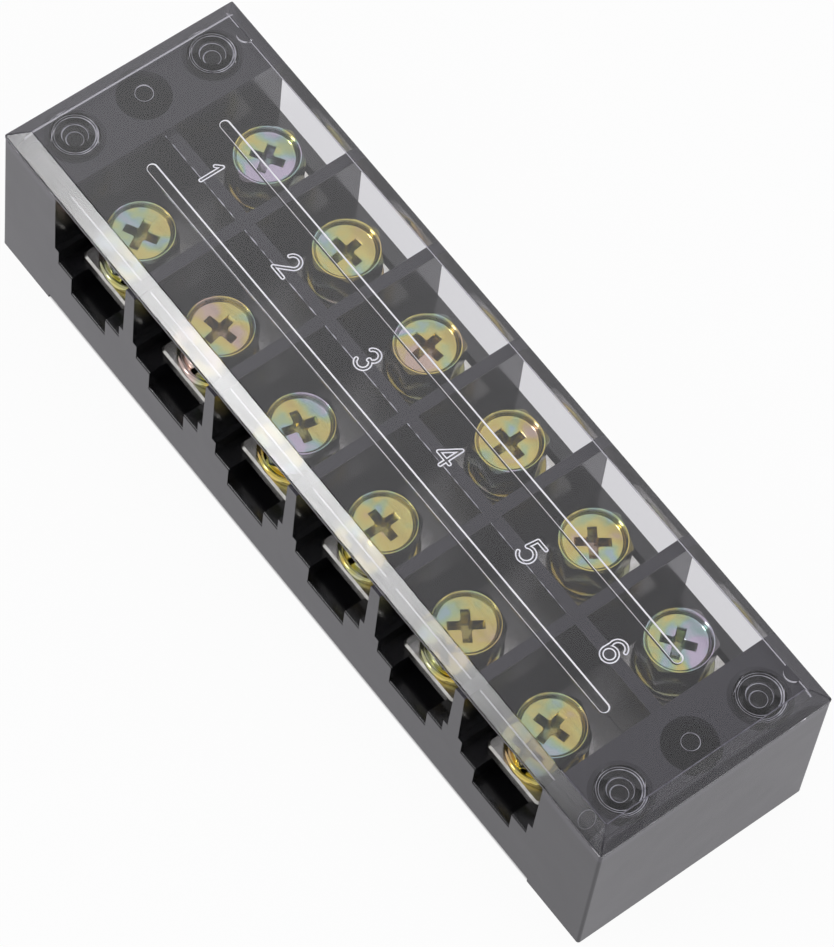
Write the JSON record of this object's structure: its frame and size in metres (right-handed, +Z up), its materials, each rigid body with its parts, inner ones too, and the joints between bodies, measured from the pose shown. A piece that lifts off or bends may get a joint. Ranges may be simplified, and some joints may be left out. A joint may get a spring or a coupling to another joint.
{
  "type": "barrier terminal strip",
  "caption": "Barrier terminal strip: dark moulded base with screw terminals on bridging plates, walls between the ways and a clear push-on cover.",
  "frame": {"origin": "middle of the underside, level with the two end feet", "axes": "+X along the strip from way 1 to way 6, +Y from the front row to the rear row, +Z up to the cover"},
  "size_m": [0.075, 0.022, 0.0173],
  "materials": {
    "moulding": "glossy black moulding",
    "clear_cover": "clear and glossy",
    "nickel_plate": "nickel plated",
    "zinc_washer": "yellow iridescent zinc",
    "zinc_spring": "yellow iridescent zinc",
    "zinc_screw": "yellow iridescent zinc"
  },
  "bodies": {
    "base": {"base": "moulding", "terminal_plate_1": "nickel_plate", "terminal_plate_2": "nickel_plate", "terminal_plate_3": "nickel_plate", "terminal_plate_4": "nickel_plate", "terminal_plate_5": "nickel_plate", "terminal_plate_6": "nickel_plate"},
    "cover": {"cover": "clear_cover"},
    "washers_front_1": {"clamp_washer_front_1": "zinc_washer", "spring_washer_front_1": "zinc_spring"},
    "screw_front_1": {"screw_front_1": "zinc_screw"},
    "washers_front_2": {"clamp_washer_front_2": "zinc_washer", "spring_washer_front_2": "zinc_spring"},
    "screw_front_2": {"screw_front_2": "zinc_screw"},
    "washers_front_3": {"clamp_washer_front_3": "zinc_washer", "spring_washer_front_3": "zinc_spring"},
    "screw_front_3": {"screw_front_3": "zinc_screw"},
    "washers_front_4": {"clamp_washer_front_4": "zinc_washer", "spring_washer_front_4": "zinc_spring"},
    "screw_front_4": {"screw_front_4": "zinc_screw"},
    "washers_front_5": {"clamp_washer_front_5": "zinc_washer", "spring_washer_front_5": "zinc_spring"},
    "screw_front_5": {"screw_front_5": "zinc_screw"},
    "washers_front_6": {"clamp_washer_front_6": "zinc_washer", "spring_washer_front_6": "zinc_spring"},
    "screw_front_6": {"screw_front_6": "zinc_screw"},
    "washers_rear_1": {"clamp_washer_rear_1": "zinc_washer", "spring_washer_rear_1": "zinc_spring"},
    "screw_rear_1": {"screw_rear_1": "zinc_screw"},
    "washers_rear_2": {"clamp_washer_rear_2": "zinc_washer", "spring_washer_rear_2": "zinc_spring"},
    "screw_rear_2": {"screw_rear_2": "zinc_screw"},
    "washers_rear_3": {"clamp_washer_rear_3": "zinc_washer", "spring_washer_rear_3": "zinc_spring"},
    "screw_rear_3": {"screw_rear_3": "zinc_screw"},
    "washers_rear_4": {"clamp_washer_rear_4": "zinc_washer", "spring_washer_rear_4": "zinc_spring"},
    "screw_rear_4": {"screw_rear_4": "zinc_screw"},
    "washers_rear_5": {"clamp_washer_rear_5": "zinc_washer", "spring_washer_rear_5": "zinc_spring"},
    "screw_rear_5": {"screw_rear_5": "zinc_screw"},
    "washers_rear_6": {"clamp_washer_rear_6": "zinc_washer", "spring_washer_rear_6": "zinc_spring"},
    "screw_rear_6": {"screw_rear_6": "zinc_screw"}
  },
  "joints": [
    {"name": "cover_lift", "type": "slide", "parent": "base", "child": "cover", "axis": [0, 0, 1], "range_m": [0, 0.006]},
    {"name": "rise_front_1", "type": "slide", "parent": "base", "child": "washers_front_1", "axis": [0, 0, 1], "range_m": [0, 0.002]},
    {"name": "turn_front_1", "type": "hinge", "parent": "washers_front_1", "child": "screw_front_1", "pos_m": [-0.026, -0.0061, 0.01], "axis": [0, 0, 1], "range_deg": [0, 1440]},
    {"name": "rise_front_2", "type": "slide", "parent": "base", "child": "washers_front_2", "axis": [0, 0, 1], "range_m": [0, 0.002]},
    {"name": "turn_front_2", "type": "hinge", "parent": "washers_front_2", "child": "screw_front_2", "pos_m": [-0.0156, -0.0061, 0.01], "axis": [0, 0, 1], "range_deg": [0, 1440]},
    {"name": "rise_front_3", "type": "slide", "parent": "base", "child": "washers_front_3", "axis": [0, 0, 1], "range_m": [0, 0.002]},
    {"name": "turn_front_3", "type": "hinge", "parent": "washers_front_3", "child": "screw_front_3", "pos_m": [-0.0052, -0.0061, 0.01], "axis": [0, 0, 1], "range_deg": [0, 1440]},
    {"name": "rise_front_4", "type": "slide", "parent": "base", "child": "washers_front_4", "axis": [0, 0, 1], "range_m": [0, 0.002]},
    {"name": "turn_front_4", "type": "hinge", "parent": "washers_front_4", "child": "screw_front_4", "pos_m": [0.0052, -0.0061, 0.01], "axis": [0, 0, 1], "range_deg": [0, 1440]},
    {"name": "rise_front_5", "type": "slide", "parent": "base", "child": "washers_front_5", "axis": [0, 0, 1], "range_m": [0, 0.002]},
    {"name": "turn_front_5", "type": "hinge", "parent": "washers_front_5", "child": "screw_front_5", "pos_m": [0.0156, -0.0061, 0.01], "axis": [0, 0, 1], "range_deg": [0, 1440]},
    {"name": "rise_front_6", "type": "slide", "parent": "base", "child": "washers_front_6", "axis": [0, 0, 1], "range_m": [0, 0.002]},
    {"name": "turn_front_6", "type": "hinge", "parent": "washers_front_6", "child": "screw_front_6", "pos_m": [0.026, -0.0061, 0.01], "axis": [0, 0, 1], "range_deg": [0, 1440]},
    {"name": "rise_rear_1", "type": "slide", "parent": "base", "child": "washers_rear_1", "axis": [0, 0, 1], "range_m": [0, 0.002]},
    {"name": "turn_rear_1", "type": "hinge", "parent": "washers_rear_1", "child": "screw_rear_1", "pos_m": [-0.026, 0.0061, 0.01], "axis": [0, 0, 1], "range_deg": [0, 1440]},
    {"name": "rise_rear_2", "type": "slide", "parent": "base", "child": "washers_rear_2", "axis": [0, 0, 1], "range_m": [0, 0.002]},
    {"name": "turn_rear_2", "type": "hinge", "parent": "washers_rear_2", "child": "screw_rear_2", "pos_m": [-0.0156, 0.0061, 0.01], "axis": [0, 0, 1], "range_deg": [0, 1440]},
    {"name": "rise_rear_3", "type": "slide", "parent": "base", "child": "washers_rear_3", "axis": [0, 0, 1], "range_m": [0, 0.002]},
    {"name": "turn_rear_3", "type": "hinge", "parent": "washers_rear_3", "child": "screw_rear_3", "pos_m": [-0.0052, 0.0061, 0.01], "axis": [0, 0, 1], "range_deg": [0, 1440]},
    {"name": "rise_rear_4", "type": "slide", "parent": "base", "child": "washers_rear_4", "axis": [0, 0, 1], "range_m": [0, 0.002]},
    {"name": "turn_rear_4", "type": "hinge", "parent": "washers_rear_4", "child": "screw_rear_4", "pos_m": [0.0052, 0.0061, 0.01], "axis": [0, 0, 1], "range_deg": [0, 1440]},
    {"name": "rise_rear_5", "type": "slide", "parent": "base", "child": "washers_rear_5", "axis": [0, 0, 1], "range_m": [0, 0.002]},
    {"name": "turn_rear_5", "type": "hinge", "parent": "washers_rear_5", "child": "screw_rear_5", "pos_m": [0.0156, 0.0061, 0.01], "axis": [0, 0, 1], "range_deg": [0, 1440]},
    {"name": "rise_rear_6", "type": "slide", "parent": "base", "child": "washers_rear_6", "axis": [0, 0, 1], "range_m": [0, 0.002]},
    {"name": "turn_rear_6", "type": "hinge", "parent": "washers_rear_6", "child": "screw_rear_6", "pos_m": [0.026, 0.0061, 0.01], "axis": [0, 0, 1], "range_deg": [0, 1440]}
  ],
  "couplings": [
    {"joint": "turn_front_1", "follows": "rise_front_1", "rad_per_m": 12566},
    {"joint": "turn_front_2", "follows": "rise_front_2", "rad_per_m": 12566},
    {"joint": "turn_front_3", "follows": "rise_front_3", "rad_per_m": 12566},
    {"joint": "turn_front_4", "follows": "rise_front_4", "rad_per_m": 12566},
    {"joint": "turn_front_5", "follows": "rise_front_5", "rad_per_m": 12566},
    {"joint": "turn_front_6", "follows": "rise_front_6", "rad_per_m": 12566},
    {"joint": "turn_rear_1", "follows": "rise_rear_1", "rad_per_m": 12566},
    {"joint": "turn_rear_2", "follows": "rise_rear_2", "rad_per_m": 12566},
    {"joint": "turn_rear_3", "follows": "rise_rear_3", "rad_per_m": 12566},
    {"joint": "turn_rear_4", "follows": "rise_rear_4", "rad_per_m": 12566},
    {"joint": "turn_rear_5", "follows": "rise_rear_5", "rad_per_m": 12566},
    {"joint": "turn_rear_6", "follows": "rise_rear_6", "rad_per_m": 12566}
  ]
}
